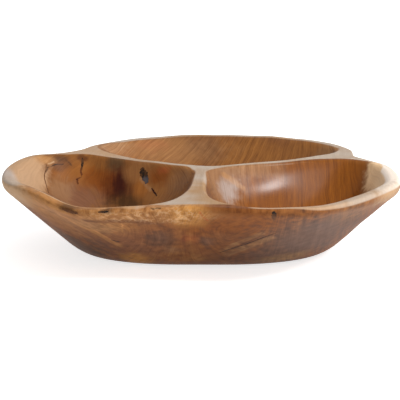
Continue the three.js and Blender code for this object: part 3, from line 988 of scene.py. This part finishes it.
def wood_noises(nodes):
    """The noises that make the wood's figure, and the places that its spots and streaks are laid out on."""
    place = nodes.place()
    wood = SimpleNamespace(drifted=moved(nodes, place, *DRIFT), ragged=moved(nodes, place, *FRAY))
    bow_scale, bow_reach = BOW
    bow = nodes.noise(place, bow_scale)[0]
    rings = nodes.math("MULTIPLY_ADD", bow, bow_reach, nodes.kept("rings"))
    along = nodes.math("MULTIPLY", nodes.kept("along"), FIBRE_STRETCH)
    grain_place = nodes.add("CombineXYZ", {"X": rings, "Y": along}).outputs[0]
    wood.bands = nodes.lines(rings, *BANDS)
    wood.fine = nodes.lines(rings, *FINE_LINES)
    wood.fibre = nodes.noise(grain_place, *FIBRE)[0]
    wood.streak = nodes.noise(grain_place, *STREAK)[0]
    wood.burl = nodes.noise(place, *BURL)[0]
    wood.mottle = nodes.ramp(nodes.noise(place, *MOTTLE)[0], *MOTTLE_RANGE)
    ragged_edge = nodes.math("ADD", wood.streak, wood.burl)
    wood.edge = nodes.math("MULTIPLY_ADD", ragged_edge, EDGE_FRAY, -EDGE_FRAY)
    return wood


def hollow_colour(nodes, wood):
    colour = nodes.mix(wood.mottle, linear(WOOD["teak"]), linear(WOOD["umber"]))
    colour = nodes.spots(wood.drifted, colour, INSIDE_SPOTS, wood.edge)
    return nodes.streaks(wood.ragged, colour, INSIDE_STREAKS)


def outside_colour(nodes, wood):
    colour = nodes.mix(wood.mottle, linear(WOOD["chestnut"]), linear(WOOD["umber"]))
    colour = nodes.spots(wood.drifted, colour, OUTSIDE_SPOTS, wood.edge)
    cells = nodes.add("TexVoronoi", {"Vector": wood.ragged, "Scale": NET_SCALE}, feature="DISTANCE_TO_EDGE")
    net = nodes.ramp(cells.outputs["Distance"], *NET_WIDTH, 1, 0)
    net = nodes.math("MULTIPLY", net, nodes.ramp(wood.burl, *NET_RANGE))
    colour = nodes.streaks(wood.ragged, colour, OUTSIDE_STREAKS)
    colour = nodes.spots(wood.drifted, colour, BURL_BANDS, wood.edge, net)
    tinted = {0: 1.0, 6: colour, 7: OUTSIDE_TINT}
    return nodes.add("Mix", tinted, data_type="RGBA", blend_type="MULTIPLY").outputs[2]


def land_colour(nodes, wood):
    colour = nodes.mix(wood.mottle, linear(WOOD["bone"]), linear(WOOD["tan"]))
    return nodes.spots(wood.drifted, colour, LAND_SPOTS, wood.edge)


def figure_shade(nodes, wood, hollowed, fallen):
    """Light and dark of the wood's lines: a factor near one for red, and stronger for green and blue."""
    inner = nodes.math("MULTIPLY", wood.streak, INNER_STREAK)
    inner = nodes.math("MULTIPLY_ADD", wood.bands, BAND_WEIGHT, inner)
    outer = nodes.math("MULTIPLY_ADD", wood.streak, OUTER_STREAK, OUTER_LEVEL)
    outer = nodes.math("MULTIPLY_ADD", wood.burl, BURL_WEIGHT, outer)
    figure = nodes.add("Mix", {0: fallen, 2: inner, 3: outer}).outputs[0]
    fine_weight = nodes.ramp(fallen, 0, 1, INNER_FINE, OUTER_FINE)
    figure = nodes.math("MULTIPLY_ADD", wood.fine, fine_weight, figure)
    figure = nodes.math("MULTIPLY_ADD", wood.fibre, FIBRE_WEIGHT, figure)
    wooden = nodes.math("MULTIPLY", nodes.math("MAXIMUM", hollowed, fallen), nodes.kept("clear"))
    contrast = nodes.ramp(wooden, 0, 1, LAND_CONTRAST, 1)
    red = nodes.math("MULTIPLY_ADD", nodes.math("SUBTRACT", figure, MEAN_FIGURE), contrast, 1.0)
    green = nodes.math("POWER", red, GREEN_POWER)
    blue = nodes.math("POWER", red, BLUE_POWER)
    return nodes.add("CombineXYZ", {"X": red, "Y": green, "Z": blue}).outputs[0]


def teak_material():
    material = bpy.data.materials.new("teak")
    nodes = Nodes(material)
    wood = wood_noises(nodes)
    inside = hollow_colour(nodes, wood)
    outside = outside_colour(nodes, wood)
    land = land_colour(nodes, wood)
    fallen = nodes.ramp(nodes.kept("fall"), *EDGE_BLEND)
    hollowed = nodes.math("SUBTRACT", nodes.ramp(nodes.kept("depth"), *LIP_BLEND), fallen)
    hollowed = nodes.math("MAXIMUM", hollowed, 0)
    colour = nodes.mix(fallen, nodes.mix(hollowed, land, inside), outside)
    shade = figure_shade(nodes, wood, hollowed, fallen)
    bump = nodes.add("Bump", {"Height": wood.fibre, "Strength": FIBRE_BUMP, "Distance": FIBRE_RELIEF})
    nodes.fill(nodes.shader, {
        "Base Color": nodes.vector("MULTIPLY", colour, shade),
        "Roughness": nodes.kept("rough"),
        "Specular IOR Level": GLOSS,
        "Normal": bump.outputs[0],
    })
    return material


# Filler: a dark wax with brown patches, and a grey reflection painted at the lower end of the knot
PATCH = (0.35, 3)
PATCH_RANGE = (0.4, 0.7)
FILLER_ROUGHNESS = 0.6


def filler_material():
    material = bpy.data.materials.new("filler")
    nodes = Nodes(material)
    place = nodes.place()
    patches = nodes.ramp(nodes.noise(place, *PATCH)[0], *PATCH_RANGE)
    colour = nodes.mix(patches, linear(WOOD["soot"]), linear(WOOD["walnut"]))
    nodes.fill(nodes.shader, {
        "Base Color": nodes.spots(place, colour, FILLER_SPOTS),
        "Roughness": FILLER_ROUGHNESS,
        "Specular IOR Level": GLOSS,
    })
    return material


set_grain(body.data)
body.data.materials.append(teak_material())
filler_wax = filler_material()
for fill in fills:
    fill.data.materials.append(filler_wax)


# The floor is white where the camera sees it, also in the bowl's gloss, and it keeps the bowl's shadow.
FLOOR_HALF = 4.0
FLOOR_COLOUR = (0.9, 0.9, 0.9, 1)
FLOOR_ROUGHNESS = 0.9
FLOOR_LIFT = 0.72
WHITE = (1, 1, 1, 1)
SEEN_RAYS = ("Is Glossy Ray", "Is Transmission Ray")

# A soft white sky, brighter towards the right, and one key light
DOME_STRENGTH = 0.6
DOME_LEAN = 0.3
KEY_FROM = Vector((0.591, -0.43, 0.682))
KEY_FAR = 2.0
KEY_SIZE = 0.38
KEY_POWER = 26


def seen_share(nodes):
    """One for rays that show a surface to the camera, in a mirror or through glass, and else nought."""
    rays = nodes.add("LightPath", {}).outputs
    seen = rays["Is Camera Ray"]
    for ray in SEEN_RAYS:
        seen = nodes.math("MAXIMUM", seen, rays[ray])
    return seen


def floor_material():
    material = bpy.data.materials.new("floor_white")
    nodes = Nodes(material)
    nodes.fill(nodes.shader, {
        "Base Color": FLOOR_COLOUR,
        "Roughness": FLOOR_ROUGHNESS,
        "Specular IOR Level": 0,
        "Emission Color": WHITE,
        "Emission Strength": nodes.math("MULTIPLY", seen_share(nodes), FLOOR_LIFT),
    })
    return material


def light_dome():
    world = bpy.data.worlds.new("dome")
    nodes = Nodes(world, "Background")
    way = nodes.add("TexCoord", {}).outputs["Generated"]
    rightward = nodes.add("SeparateXYZ", {0: way}).outputs["X"]
    strength = nodes.math("MULTIPLY_ADD", rightward, DOME_LEAN, DOME_STRENGTH)
    nodes.fill(nodes.shader, {"Color": WHITE, "Strength": strength})
    return world


def key_light():
    data = bpy.data.lights.new("key", "AREA")
    data.shape = "SQUARE"
    data.size = KEY_SIZE
    data.energy = KEY_POWER
    lamp = bpy.data.objects.new("key", data)
    lamp.location = KEY_FROM * KEY_FAR
    lamp.rotation_euler = (-KEY_FROM).to_track_quat("-Z", "Y").to_euler()
    return lamp


floor_corners = np.array([(-1, -1, 0), (1, -1, 0), (1, 1, 0), (-1, 1, 0)]) * FLOOR_HALF / MM
floor = new_object("floor", floor_corners, [[0, 1, 2, 3]])
floor.data.materials.append(floor_material())
bpy.context.scene.world = light_dome()
bpy.context.scene.collection.objects.link(key_light())

# Camera: at the photograph's height and distance, level with the picture's sides
CAMERA_DISTANCE = 1.4
LOOK_DOWN = 12.341
LENS = 166.05
SENSOR_WIDTH = 36
camera_data = bpy.data.cameras.new("camera")
camera_data.sensor_width = SENSOR_WIDTH
camera_data.lens = LENS
camera = bpy.data.objects.new("camera", camera_data)
bpy.context.scene.collection.objects.link(camera)
tilt = math.radians(VIEW_ELEVATION)
camera.location = (0, -CAMERA_DISTANCE * math.cos(tilt), CAMERA_DISTANCE * math.sin(tilt))
camera.rotation_euler = (math.radians(90 - LOOK_DOWN), 0, 0)
bpy.context.scene.camera = camera

bpy.context.scene.view_settings.view_transform = "Standard"
